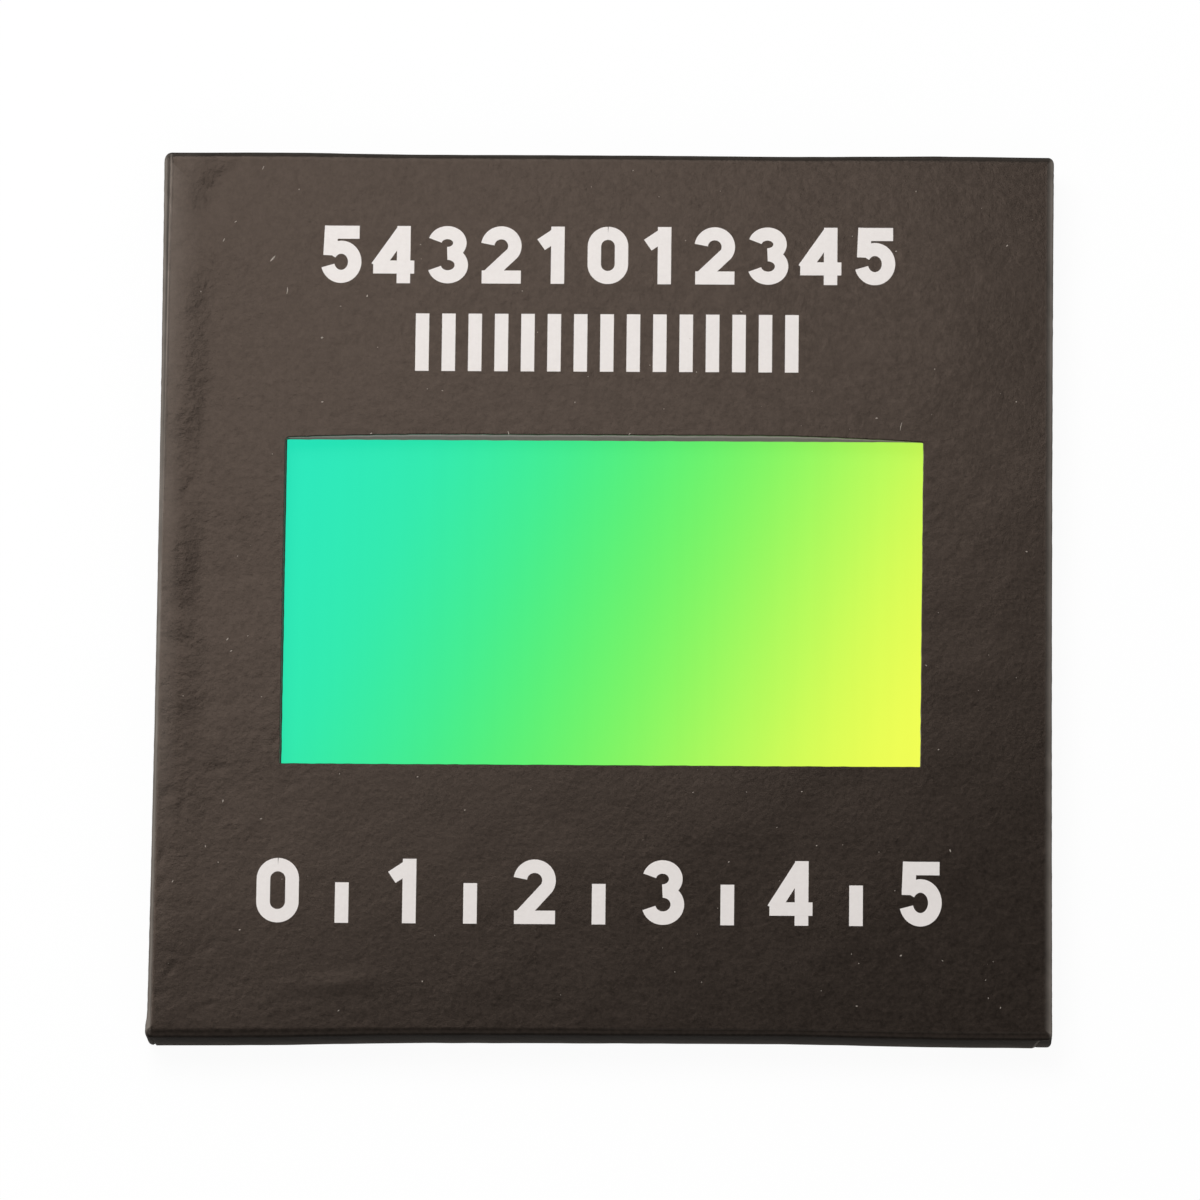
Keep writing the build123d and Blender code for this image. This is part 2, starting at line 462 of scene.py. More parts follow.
# %% Helpers for finishes
class Finish:
    """A material under construction, with its Principled shader."""

    def __init__(self, name, color, roughness, specular=0.5):
        self.material = bpy.data.materials.new(name)
        self.material.use_nodes = True
        self.tree = self.material.node_tree
        self.shader = self.tree.nodes["Principled BSDF"]
        self.set("Base Color", (*color, 1.0))
        self.set("Roughness", roughness)
        self.set("Specular IOR Level", specular)
        self.place = self.tree.nodes.new("ShaderNodeTexCoord").outputs["Object"]

    def set(self, socket, value):
        """Link an output to the shader's socket, or set a constant on it."""
        if isinstance(value, bpy.types.NodeSocket):
            self.tree.links.new(value, self.shader.inputs[socket])
        else:
            self.shader.inputs[socket].default_value = value

    def add(self, kind, inputs=(), **properties):
        """New node with its properties and inputs set, linked where given outputs."""
        node = self.tree.nodes.new("ShaderNode" + kind)
        for name, value in properties.items():
            setattr(node, name, value)
        for name, value in dict(inputs).items():
            if isinstance(value, bpy.types.NodeSocket):
                self.tree.links.new(value, node.inputs[name])
            else:
                node.inputs[name].default_value = value
        return node

    def stretched(self, scale, rotation=(0, 0, 0)):
        """Object coordinates turned and scaled, for a pattern with a grain."""
        inputs = {"Vector": self.place, "Scale": scale, "Rotation": rotation}
        return self.add("Mapping", inputs).outputs["Vector"]

    def noise(self, per_mm, detail=3.0, vector=None, rough=0.5):
        """Noise between 0 and 1 with so many lumps to the millimetre."""
        inputs = {"Vector": vector or self.place, "Scale": per_mm * 1000}
        inputs.update(Detail=detail, Roughness=rough)
        return self.add("TexNoise", inputs).outputs["Fac"]

    def span(self, value, from_low, from_high, to_low, to_high, kind="LINEAR"):
        """Value moved from one span to another, and held inside it."""
        inputs = enumerate((value, from_low, from_high, to_low, to_high))
        return self.add("MapRange", inputs, interpolation_type=kind).outputs["Result"]

    def blend(self, factor, first, second, mode="MIX"):
        """Colour between first and second, each a colour or an output."""
        inputs = {0: factor}
        for socket, color in ((6, first), (7, second)):
            linked = isinstance(color, bpy.types.NodeSocket)
            inputs[socket] = color if linked else (*color, 1.0)
        return self.add("Mix", inputs, data_type="RGBA", blend_type=mode).outputs[2]

    def times(self, first, second):
        """Product of two values."""
        return self.add("Math", {0: first, 1: second}, operation="MULTIPLY").outputs[0]

    def bumps(self, *layers):
        """Lay bump maps over each other: (height output, depth in millimetres)."""
        normal = None
        for height, depth in layers:
            inputs = {"Height": height, "Distance": depth / 1000, "Strength": 1.0}
            if normal:
                inputs["Normal"] = normal
            normal = self.add("Bump", inputs).outputs["Normal"]
        self.set("Normal", normal)


print("helpers:", [name for name in vars(Finish) if name[0] != "_"])

# %% [markdown]
# The cover is black-brown ink under a matt laminating film. Such a film isn't
# smooth: a fine grain like leather and, in places, slanting wrinkles break its
# sheen up, less so at the lower right. The ink under it is finely speckled.
# The white print lies under the same film, so both finishes share one recipe
# and differ in colour alone. Where the film is rubbed or the paper is cut, its
# pale core shows: each point of the cover carries a value from 0 to 1 for
# that, as a mesh attribute. On the folds the same value also holds painted
# sheen, a painted reflection of the pale surroundings.

# %% Laminated paper, dark and white
WORN_AND_SHEEN = (0.42, 0.37, 0.325)
SKIN_ROUGHNESS = 0.215
SKIN_ROUGH_SPAN = (SKIN_ROUGHNESS - 0.03, SKIN_ROUGHNESS + 0.045)
SKIN_SPECULAR = 0.175
# the grain keeps this share of its depth at the lower right
CALM_SHARE = 0.33
GRAIN_DEPTH = 0.03
WRINKLE_DEPTH = 0.009


def laminate(name, dark, light, tint):
    """Matt laminate over ink that is finely speckled between two tones."""
    finish = Finish(name, dark, SKIN_ROUGHNESS, SKIN_SPECULAR)
    finish.set("Specular Tint", (*tint, 1.0))
    speckle = finish.span(finish.noise(3.4, 3.0, rough=0.6), 0.36, 0.64, 0, 1)
    # the pale colour comes in by this attribute: wear at the cuts and folds, and painted
    # sheen on the folds
    wear_and_sheen = finish.add("Attribute", attribute_name="wear_and_sheen").outputs["Fac"]
    ink = finish.blend(speckle, dark, light)
    finish.set("Base Color", finish.blend(wear_and_sheen, ink, WORN_AND_SHEEN))
    patches = finish.noise(1.6, 4.0)
    finish.set("Roughness", finish.span(patches, 0.3, 0.7, *SKIN_ROUGH_SPAN))
    slant = finish.stretched((1, 1, 1), (0, 0, math.radians(45)))
    across = finish.add("SeparateXYZ", {"Vector": slant}).outputs["X"]
    calmer = finish.span(across, -0.04, 0.0, 1.0, CALM_SHARE)
    leather = finish.times(finish.noise(1.9, 4.0, rough=0.62), calmer)
    grain = finish.stretched((2.2, 1.0, 1.0), (0, 0, math.radians(35)))
    where = finish.span(finish.noise(0.2, 2.0), 0.4, 0.66, 0, 1, "SMOOTHSTEP")
    wrinkles = finish.times(finish.noise(1.9, 2.0, grain), finish.times(where, calmer))
    finish.bumps((leather, GRAIN_DEPTH), (wrinkles, WRINKLE_DEPTH))
    return finish.material


DARK_INK = (0.006, 0.0046, 0.0037), (0.0145, 0.011, 0.0089)
WHITE_INK = (0.735, 0.69, 0.665), (0.755, 0.712, 0.687)
cover_finish = laminate("dark_laminate", *DARK_INK, tint=(1.0, 0.76, 0.62))
print_finish = laminate("white_print", *WHITE_INK, tint=(1.0, 0.95, 0.9))
print("made", cover_finish.name, "and", print_finish.name)

# %% [markdown]
# The cover itself is one closed grid. Its profile starts at the window's cut,
# runs over the front, round the fold, down the wall, round the back fold and
# along the turn-in, and returns inside the paper. Each row of the table is one
# ring: how far grown from the window, how far inset from the outline, how much
# of each, its height, and its share of the relief, the push and the lean.

# %% Profile of the cover
LIP = 0.06
INNER_FOLD = 0.3
NEAR_EDGE = 3.2
TURN_IN = 12.0
LIP_STEPS = [0.0015, 0.005, 0.012]
FRONT_STEPS = 40
NEAR_STEPS = 18
CROWDING = 0.8
LEAN_FADE = 6
PUSH_START = 1.6
PUSH_AT_FOLD = 0.8


def rows(grow=0.0, inset=0.0, outward=1.0, z=TOP, relief=0.0, push=0.0, lean=0.0):
    """Rings of a profile; each entry is one number, or one for each ring."""
    entries = (grow, inset, outward, z, relief, push, lean)
    return np.stack(np.broadcast_arrays(*map(np.atleast_1d, entries)), axis=1)


def quarter(radius, angle):
    """A rounded fold: how far it has turned in from both sides of its corner."""
    return radius * (1 - np.sin(angle)), radius * (1 - np.cos(angle))


def cover_profile():
    """Table of the cover's rings, from the window's cut round and back to it."""
    lip = np.radians([0, 30, 60, 90])
    lip_in, lip_up = LIP - LIP * np.cos(lip), TOP - LIP + LIP * np.sin(lip)
    spread = np.append(LIP_STEPS, np.linspace(0, 1, FRONT_STEPS + 1)[1:])
    share = np.linspace(0, 1, NEAR_STEPS + 1)[1:] ** CROWDING
    near = NEAR_EDGE + (FOLD - NEAR_EDGE) * share
    near_push = smooth_step(PUSH_START, 0, near) * PUSH_AT_FOLD
    bend = np.radians(np.linspace(0, 90, 9))[1:]
    turned, drop = quarter(FOLD, bend)
    bend_push = PUSH_AT_FOLD + (1 - PUSH_AT_FOLD) * np.sin(bend)
    wall = np.linspace(TOP - FOLD, BOTTOM + FOLD, 17)[1:]
    back = np.linspace(FOLD, TURN_IN, 6)[1:]
    inner_back = np.linspace(TURN_IN, FOLD, 3)
    fold_in, fold_out = quarter(INNER_FOLD, np.radians([0, 45, 90]))
    return np.concatenate([
        rows(lip_in, NEAR_EDGE, 0, lip_up, relief=1, lean=1),
        rows(LIP, NEAR_EDGE, spread, relief=1, lean=(1 - spread) ** LEAN_FADE),
        rows(LIP, near, relief=1, push=near_push),
        rows(LIP, turned, 1, TOP - drop, np.cos(bend) ** 0.5, bend_push),
        rows(LIP, 0, 1, wall, push=1),
        rows(LIP, drop, 1, BOTTOM + turned, push=np.cos(bend)),
        rows(LIP, back, 1, BOTTOM),
        rows(LIP, inner_back, 1, BOTTOM + PAPER),
        rows(LIP, PAPER + fold_in, 1, BOTTOM + PAPER + fold_out),
        rows(LIP, PAPER, 1, [BOTTOM + FOLD, TOP - FOLD]),
        rows(LIP, PAPER + fold_out, 1, TOP - PAPER - fold_in),
        rows(0, NEAR_EDGE, [0.5, 0], TOP - PAPER, lean=[0, 1]),
    ])


profile = cover_profile()
print("rings of the cover:", len(profile))

# %% Sweep a profile round the card
TIGHTEST = 0.06


def sweep(path, profile):
    """Carry a profile round the card: one row of points for each ring of it.

    A ring is the window's outline times (1 - outward) plus the card's outline,
    inset and with its corners tightened as much, times outward.
    """
    grid = []
    for grow, inset, outward, z, raised, pushed, lean in profile:
        ring = window_ring(path, grow, lean) * (1 - outward)
        tight = np.maximum(CORNER_RADIUS - inset, TIGHTEST)
        ring = ring + path.ring(HALF - inset, tight) * outward
        if pushed:
            ring = ring + path.normal * (wall_push(path, ring, z) * pushed)[:, None]
        height = np.full(path.size, z)
        if raised:
            height = height + raised * front_relief(ring[:, 0], ring[:, 1])
        grid.append(np.column_stack([ring, height]))
    return np.array(grid)


def closed_ring(name, grid, material, slot, wear_and_sheen=None):
    """Piece from a grid that closes both round the card and across its profile."""
    faces = grid_faces(*grid.shape[:2], wrap_rows=True, wrap_columns=True)
    return add_piece(name, grid.reshape(-1, 3), faces[:, ::-1], material, slot, wear_and_sheen)


cover_grid = sweep(fine, profile)
print("points of the cover:", cover_grid.shape[:2])

# %% [markdown]
# Handling has rubbed the folds: most of all on the left, hardly at the top, and
# on the wall at the bottom. Each side has a table by the way past its fold,
# which is partly this wear and partly painted sheen: the folds' reflection of
# the pale surroundings, and low on the bottom wall the floor's, painted in. The
# cut edges, round the window and at the flaps' ends, are pale too.

# %% Wear and painted sheen of the folds, wear of the cut edges
# each table is partly wear and partly painted sheen, a painted reflection on that fold
LEFT_WEAR_AND_SHEEN = [
    (-1.6, 0), (-0.9, 0.04), (-0.4, 0.08), (0, 0.1), (0.12, 0.08), (0.2, 0.28),
    (0.3, 0.55), (0.42, 0.72), (0.8, 0.66), (1.3, 0.4), (2.2, 0.12), (4, 0.04),
]
RIGHT_WEAR_AND_SHEEN = [
    (-0.25, 0), (-0.1, 0.03), (0, 0.1), (0.22, 0.28), (0.41, 0.62), (0.6, 0.68),
    (0.8, 0.38), (1.3, 0.14), (2.2, 0.05), (4, 0),
]
TOP_WEAR_AND_SHEEN = [(-0.1, 0), (0.1, 0.04), (0.3, 0.09), (0.75, 0.12), (2, 0.05), (4, 0.03)]
# low on the bottom wall this is mostly a painted reflection of the floor
BOTTOM_WEAR_AND_REFLECTION = [
    (-0.1, 0), (0.0, 0.02), (0.15, 0), (0.5, 0.02), (0.9, 0.07), (1.5, 0.1),
    (2.5, 0.17), (3.7, 0.3), (4.5, 0.42), (5, 0.42), (6, 0.06),
]
CORE_SHOWS = 0.6
# the band of wear and painted sheen by the left fold fades towards the lower corner
BAND_FADE = (-23, -9)
BAND_LEFT = 0.1
# painted highlight along the left edge's bead: its strength and width
BEAD_HIGHLIGHT = 0.26
BEAD_HIGHLIGHT_WIDTH = 0.085
# painted sheen on the rim beside the left fold: strength, then steps in x and y
RIM_SHEEN = 0.03
RIM_SHEEN_X = (-31.6, -33.2)
RIM_SHEEN_Y = (8, 27)
# a flap's rim: how pale and how wide
RIM = (0.12, 0.05)
FRAYED_RIM = (0.85, 0.1)
FRAYED_CORNER = (1, -1)
LINTEL_Z = 3.95
LINTEL_WIDTH = 0.16
LINTEL_SHARE = 0.7


def past_fold(profile):
    """Way of each ring past the start of the fold, along the paper.

    It is FOLD - inset on the front, the radius times the angle turned on the
    fold, and on the wall the way down is added to the quarter turn.
    """
    inset, outward, z = profile[:, 1], profile[:, 2], profile[:, 3]
    turned = np.arccos(np.clip(1 - (TOP - z) / FOLD, 0, 1))
    down = FOLD * turned + np.maximum(TOP - FOLD - z, 0)
    front = np.where(outward < 1, -HALF, FOLD - inset)
    return np.where(z > TOP - 1e-6, front, down)


def fold_wear_and_sheen(path, way, x, y, z):
    """Wear and painted sheen of the folds: each side's table, as much as its wall
    faces that way.

    Added are a painted highlight on the bead of the left edge, a Gaussian
    across it, and a painted sheen on the rim beside it.
    """
    across, up = path.normal.T
    sides = (LEFT_WEAR_AND_SHEEN, -across), (RIGHT_WEAR_AND_SHEEN, across), (TOP_WEAR_AND_SHEEN, up), (BOTTOM_WEAR_AND_REFLECTION, -up)
    wear_and_sheen = 0.0
    for table, facing in sides:
        along = np.interp(way, *np.array(table).T, left=0, right=0)
        wear_and_sheen = wear_and_sheen + along[:, None] * np.maximum(facing, 0) ** 2
    kept = np.where(x < 0, np.maximum(smooth_step(*BAND_FADE, y), BAND_LEFT), 1)
    wear_and_sheen = np.where((way < 0.05)[:, None], wear_and_sheen * kept, wear_and_sheen)
    on_front = (way < 0.3)[:, None] & (z > TOP - 0.4)
    # painted highlight along the bead, and painted sheen on the rim beside it
    bead = np.exp(-(((x - bead_line(y)) / BEAD_HIGHLIGHT_WIDTH) ** 2))
    rim_sheen = smooth_step(*RIM_SHEEN_X, x) * smooth_step(*RIM_SHEEN_Y, y)
    return wear_and_sheen + (BEAD_HIGHLIGHT * bead * (0.4 + 0.6 * kept) + RIM_SHEEN * rim_sheen) * on_front


def flap_end_wear(side_x, side_y, x, y, z):
    """Wear of one flap's cut end, and of the lintel over its opening."""
    here = (x * side_x > 33) & (y * side_y > 34.6) & (z > BOTTOM)
    beyond, below, gap = tuck_shares(x, z, side_x, side_y)
    pale, width = FRAYED_RIM if (side_x, side_y) == FRAYED_CORNER else RIM
    rim = below * np.exp(-(((gap + width) / width) ** 2))
    lintel = LINTEL_SHARE * beyond * np.exp(-(((z - LINTEL_Z) / LINTEL_WIDTH) ** 2))
    return pale * here * np.maximum(rim, lintel)


def paper_wear_and_sheen(path, grid, profile):
    """Wear and painted sheen, 0 to 1, of all the cover's points, made a little uneven."""
    x, y, z = np.moveaxis(grid, 2, 0)
    wear_and_sheen = fold_wear_and_sheen(path, past_fold(profile), x, y, z)
    for side_x, side_y in TUCKS:
        wear_and_sheen = wear_and_sheen + flap_end_wear(side_x, side_y, x, y, z)
    cut = (profile[:, 2] == 0) & (profile[:, 3] < TOP - 0.9 * LIP)
    wear_and_sheen = np.maximum(wear_and_sheen, CORE_SHOWS * cut[:, None])
    uneven = 0.85 + 0.15 * lumps(x * 0.7 + y, z * 1.5 + x, 1.1, 51)
    return np.clip(wear_and_sheen * uneven, 0, 1)


cover_wear_and_sheen = paper_wear_and_sheen(fine, cover_grid, profile).reshape(-1)
print(f"share of worn points: {(cover_wear_and_sheen > 0.1).mean():.2f}")

# %% The wrapped cover
cover = closed_ring("wrapped_cover", cover_grid, cover_finish, "cover_laminate", cover_wear_and_sheen)
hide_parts("cover_paper")

# %% [markdown]
# Greyboard is made of layers of waste paper. A die crushes it as it cuts, so
# the window's walls are rough: layers stand out a little. The outermost layer
# is paler than the rest, as on lined board. The left wall is painted dark
# green-grey: painted shade, tinted by painted green light from the film.

# %% Greyboard
LINING = 0.9
LEFT_WALL_SHADE = (0.06, 0.075, 0.06)


def greyboard():
    """Grey-brown pulp: flat layers, flecks, a fibrous skin and a pale top liner."""
    finish = Finish("greyboard", (0.42, 0.38, 0.34), 0.92, specular=0.2)
    layers = finish.noise(1.1, 4.0, finish.stretched((1.0, 1.0, 9.0)), 0.6)
    flecks = finish.noise(7.0, 2.0)
    pulp = finish.blend(layers, (0.33, 0.285, 0.26), (0.6, 0.55, 0.51))
    fleck = finish.span(flecks, 0.6, 0.72, 0.0, 0.5)
    pulp = finish.blend(fleck, pulp, (0.5, 0.47, 0.43))
    place = finish.add("SeparateXYZ", {"Vector": finish.place}).outputs
    low = (board_high[2] - LINING) / 1000
    high = (board_high[2] - 0.2 * LINING) / 1000
    lining = finish.span(place["Z"], low, high, 0.0, 0.85, "SMOOTHSTEP")
    lined = finish.blend(lining, pulp, (0.82, 0.72, 0.7))
    # painted shade: the window's left wall is darkened and tinted green
    left = (WINDOW_CENTRE[0] - WINDOW_HALF[0]) / 1000
    wall_shade = finish.span(place["X"], left + 0.0003, left + 0.0001, 0.0, 0.85)
    finish.set("Base Color", finish.blend(wall_shade, lined, LEFT_WALL_SHADE))
    finish.bumps((layers, 0.06), (flecks, 0.02))
    return finish.material


board_finish = greyboard()
print("made", board_finish.name)

# %% Two boards
WALL_RINGS = 15
WALL_ROUGH = 0.03
WALL_LUMP = 0.5
DEEPEST_PIT = -0.01


def board_grid(low, high, lean_top):
    """Rings of one board: its window wall first, then round its outside.

    The wall is the window's outline at each height, roughened by lumps that
    are much longer along the wall than up it.
    """
    heights = np.linspace(low, high, WALL_RINGS)
    lean = np.linspace(0, lean_top, WALL_RINGS)
    outside = HALF - board_high[0]
    profile = np.concatenate([
        rows(0, NEAR_EDGE, 0, heights, lean=lean),
        rows(0, outside + [INNER_FOLD, 0], 1, [high, high - INNER_FOLD]),
        rows(0, outside + [0, INNER_FOLD], 1, [low + INNER_FOLD, low]),
    ])
    grid = sweep(coarse, profile)
    for row, height in enumerate(heights[1:-1], start=1):
        along = grid[row, :, 0] + 1.7 * grid[row, :, 1]
        rough = lumps(along, along * 0 + height * 5, WALL_LUMP, 61) * WALL_ROUGH
        grid[row, :, :2] += coarse.normal * np.maximum(rough, DEEPEST_PIT)[:, None]
    return grid


front_wall = board_grid(film_high[2], board_high[2], lean_top=1.0)
front_board = closed_ring("front_board_cut", front_wall, board_finish, "greyboard")
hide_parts("front_board")
back_wall = board_grid(back_low[2], back_high[2], lean_top=0.0)
back_board = closed_ring("back_board_cut", back_wall, board_finish, "greyboard")
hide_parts("back_board")

# %% [markdown]
# The film throws back the colour that its rulings select for the viewer: sea
# green, green and yellow across this window, in bands that slant a little.
# These bands are painted on as one ramp of soft stops laid on the film itself,
# so they hold in any view. The rulings send light out sideways whatever shadow
# falls on them, so most of the colour is painted light: the film glows, though
# it is no lamp. That light leaves in narrow beams, so the film is hidden from
# diffuse rays, and the walls of the window stay grey.

# %% The film's finish
# share of the way along the slant, and the colour there
FILM_STOPS = {
    0.0: (0.019, 0.8, 0.525),
    0.2: (0.026, 0.815, 0.43),
    0.36: (0.05, 0.84, 0.27),
    0.5: (0.105, 0.875, 0.158),
    0.64: (0.235, 0.918, 0.115),
    0.78: (0.52, 0.96, 0.098),
    0.9: (0.79, 0.985, 0.088),
    1.0: (0.92, 1.0, 0.09),
}
FILM_GLOW = 0.92
FILM_SLANT = math.radians(25)
FILM_REACH = 28.3
STREAK_DEPTH = 0.004


def ruled_film():
    """Colour ramp along the slant, faint streaks across, and a glossy skin."""
    finish = Finish("ruled_film", (0.12, 0.87, 0.18), 0.3, specular=0.02)
    back = (-WINDOW_CENTRE[0] / 1000, -WINDOW_CENTRE[1] / 1000, 0)
    centred = finish.add("Mapping", {"Vector": finish.place, "Location": back})
    inputs = {"Vector": centred.outputs["Vector"], "Rotation": (0, 0, FILM_SLANT)}
    turned = finish.add("Mapping", inputs).outputs["Vector"]
    along = finish.add("SeparateXYZ", {"Vector": turned}).outputs["X"]
    reach = FILM_REACH / 1000
    share = finish.span(along, -reach, reach, 0, 1)
    ramp = finish.add("ValToRGB", {"Fac": share})
    ramp.color_ramp.interpolation = "B_SPLINE"
    stops = ramp.color_ramp.elements
    for position in list(FILM_STOPS)[1:-1]:
        stops.new(position)
    for stop, (position, color) in zip(stops, FILM_STOPS.items()):
        stop.position = position
        stop.color = (*color, 1)
    streaks = finish.noise(0.9, 2.0, finish.stretched((1.0, 0.02, 1.0)))
    bright = finish.span(streaks, 0.3, 0.7, 0.993, 1.007)
    color = finish.blend(1.0, ramp.outputs["Color"], bright, "MULTIPLY")
    # painted light: most of the colour is emitted, so the film glows
    finish.set("Base Color", finish.blend(FILM_GLOW, color, (0, 0, 0)))
    finish.set("Emission Color", color)
    finish.set("Emission Strength", FILM_GLOW)
    finish.bumps((streaks, STREAK_DEPTH))
    return finish.material


film_finish = ruled_film()
print("colour stops:", len(FILM_STOPS))

# %% The grating film
FILM_COLUMNS = 121
FILM_ROWS = 75
WAVE_HEIGHT = 0.03
WAVE_LENGTH = 11.0
WAVE_MARGIN = 4


def film_wave(x, y):
    """Slack of the film inside the window, none where the boards hold it."""
    inside_x = WINDOW_HALF[0] - np.abs(x - WINDOW_CENTRE[0])
    inside_y = WINDOW_HALF[1] - np.abs(y - WINDOW_CENTRE[1])
    fade = smooth_step(0, WAVE_MARGIN, inside_x)
    wave = WAVE_HEIGHT * lumps(x, y, WAVE_LENGTH, 71) * fade
    return wave * smooth_step(0, WAVE_MARGIN, inside_y)


def film_grid():
    """Loops over and under the film from left to right, sharing the same waves."""
    x = np.linspace(film_low[0], film_high[0], FILM_COLUMNS)
    y = np.linspace(film_low[1], film_high[1], FILM_ROWS)
    plan_x, plan_y = np.meshgrid(x, np.concatenate([y, y[::-1]]), indexing="ij")
    z = np.repeat([film_high[2], film_low[2]], FILM_ROWS) + film_wave(plan_x, plan_y)
    return np.stack([plan_x, plan_y, z], axis=-1)


film = add_piece("ruled_film", *capped(film_grid()), film_finish, "grating_film")
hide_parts("grating_film")
film.visible_diffuse = False

# %% [markdown]
# The liner is plain uncoated black paper. Glued over the turn-ins, it shows
# their edges as a soft step all round. The adhesive sheet, sealed between the
# boards, keeps its measured shape and gets a finish.

# %% Liner and adhesive
LINER_STEP_RUN = 0.7
LINER_STEPS = 12


def liner_paper():
    """Black uncoated paper with a felt-like tooth and a few pale fibres."""
    finish = Finish("liner_paper", (0.022, 0.02, 0.019), 0.9, specular=0.3)
    felt = finish.noise(3.0, 5.0)
    fibres = finish.noise(1.4, 3.0, finish.stretched((1, 5, 1), (0, 0, 0.5)))
    pale = finish.span(fibres, 0.55, 0.8, 0.0, 0.35)
    finish.set("Base Color", finish.blend(pale, (0.02, 0.018, 0.017), (0.07, 0.065, 0.06)))
    finish.bumps((felt, 0.02), (fibres, 0.01))
    return finish.material


def liner_grid():
    """Rings of the liner: its lower face, the window's cut and the upper face."""
    thick = liner_high[2] - liner_low[2] - PAPER
    edge = HALF - liner_high[0]
    on_step = TURN_IN + LINER_STEP_RUN * np.array([0.2, 0.4, 0.6, 0.8, 1.0])
    inset = np.append(np.linspace(edge, TURN_IN, LINER_STEPS), on_step)
    step = PAPER * smooth_step(TURN_IN, TURN_IN + LINER_STEP_RUN, inset)
    spread = np.linspace(1, 0, LINER_STEPS)[1:]
    far = inset[-1]
    profile = np.concatenate([
        rows(0, inset, 1, step),
        rows(0, far, spread, PAPER),
        rows(0, far, 0, PAPER + thick),
        rows(0, inset[::-1], 1, step[::-1] + thick),
    ])
    return sweep(coarse, profile)


liner = closed_ring("back_liner_paper", liner_grid(), liner_paper(), "liner_paper")
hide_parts("back_liner")

adhesive = Finish("adhesive", (0.72, 0.68, 0.58), 0.45)
adhesive.bumps((adhesive.noise(0.8), 0.01))
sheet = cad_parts["adhesive_sheet"].data
sheet.materials.clear()
sheet.materials.append(adhesive.material)

# %% [markdown]
# White print stands above and below the window: a row of order numbers, a row
# of ruled bars, and a centimetre scale as wide as the window. The numbers are
# drawn with a pen: each is a few strokes of straight runs and arcs, and along
# each stroke a ribbon of the pen's width is laid on the relief of the front.

# %% Strokes of a pen
PEN = 1.06
INK_STEP = 0.16
ARC_STEP = 6


def line(*corners):
    """Straight runs between corners, with points a fixed step apart."""
    pieces = []
    for start, end in zip(corners[:-1], corners[1:]):
        start, end = np.array(start, float), np.array(end, float)
        count = max(2, int(np.hypot(*(end - start)) / INK_STEP))
        pieces.append(start + (end - start) * np.linspace(0, 1, count)[:, None])
    return np.concatenate(pieces)


def arc(centre, radii, start, end):
    """Part of an ellipse, from one angle to another, in degrees."""
    count = max(6, int(abs(end - start) / ARC_STEP))
    angle = np.radians(np.linspace(start, end, count))
    x = centre[0] + radii[0] * np.cos(angle)
    y = centre[1] + radii[1] * np.sin(angle)
    return np.stack([x, y], axis=1)


def number_strokes(digit, width, height):
    """Pen paths of a number in a box, as the pen's middle line runs."""
    r, h = (width - PEN) / 2, height - PEN
    if digit == 0:
        high, low = (0, h - r), (0, r)
        right, left = arc(high, (r, r), 90, 0), arc(high, (r, r), 180, 90)
        return [np.concatenate([right, arc(low, (r, r), 0, -180), left])]
    if digit == 1:
        return [line((0.25, -PEN / 2), (0.25, h + PEN / 2)), line((0.3, h), (-r, h - 0.95))]
    if digit == 2:
        bowl = arc((0, h - r), (r, r), 172, -32)
        foot = line(bowl[-1], (0.1 - r, 0.12))
        return [np.concatenate([bowl, foot]), line((-r - 0.45, 0), (r + 0.5, 0))]
    if digit == 3:
        r_up, r_low = h * 0.235, h * 0.265
        upper = arc((-0.05, h - r_up), (r * 0.92, r_up), 165, -90)
        return [upper, arc((0, r_low), (r, r_low), 90, -165)]
    if digit == 4:
        x = r - 0.35
        stem = line((x, -PEN / 2), (x, h + PEN / 2))
        slope = line((x - 0.1, h + 0.1), (-r - 0.3, 0.78))
        return [stem, slope, line((-r - 0.6, 0.78), (r + 0.5, 0.78))]
    bowl = arc((0, h * 0.33), (r, h * 0.33), 148, -165)
    stem = line((0.28 - r, h + PEN / 2), bowl[0] + (0.02, -0.1))
    return [bowl, stem, line((-r - 0.1, h), (r + 0.35, h))]


def numbers(digits, places, baseline, width, height):
    """Marks of a row of numbers, one at each place."""
    return [
        [stroke + (place, baseline + PEN / 2) for stroke in number_strokes(d, width, height)]
        for d, place in zip(digits, places)
    ]


print("points of a quarter arc:", len(arc((0, 0), (1, 1), 0, 90)))

# %% Ribbons of ink in three rows
INK = 0.01
INK_LAYER = 0.004
INK_DEPTH = 0.03


def strip(path, normal, across, rise):
    """Points and faces of a closed strip along a path on the front.

    Each loop's points lie this far across the path, and this high above it.
    """
    plan = path[:, None, :] + normal[:, None, :] * across[..., None]
    height = TOP + front_relief(plan[..., 0], plan[..., 1]) + rise
    return capped(np.dstack([plan, height]))


def ribbon(path, rise):
    """Strip of ink, half a pen to either side and back below the paper's skin."""
    tangent = np.gradient(path, axis=0)
    tangent /= np.hypot(*tangent.T)[:, None] + 1e-9
    normal = np.stack([-tangent[:, 1], tangent[:, 0]], axis=1)
    across = np.array([0.5, 0, -0.5, -0.5, 0, 0.5]) * PEN
    return strip(path, normal, across, np.repeat([rise, -INK_DEPTH], 3))


def lay_print(name, marks):
    """One piece of print from marks, each a list of pen paths on the front.

    Where strokes of one mark cross, the later lies a hair above the earlier.
    """
    ribbons = []
    for mark in marks:
        for layer, stroke in enumerate(mark):
            gaps = np.hypot(*np.diff(stroke, axis=0, prepend=stroke[:1] - 1).T)
            ribbons.append(ribbon(stroke[gaps > 1e-6], INK + INK_LAYER * layer))
    return add_piece(name, *joined(ribbons), print_finish, "print_white")


ORDERS = [5, 4, 3, 2, 1, 0, 1, 2, 3, 4, 5]
order_places = np.linspace(-21.0, 21.1, 11)
lay_print("print_orders", numbers(ORDERS, order_places, 24.75, 3.2, 4.65))

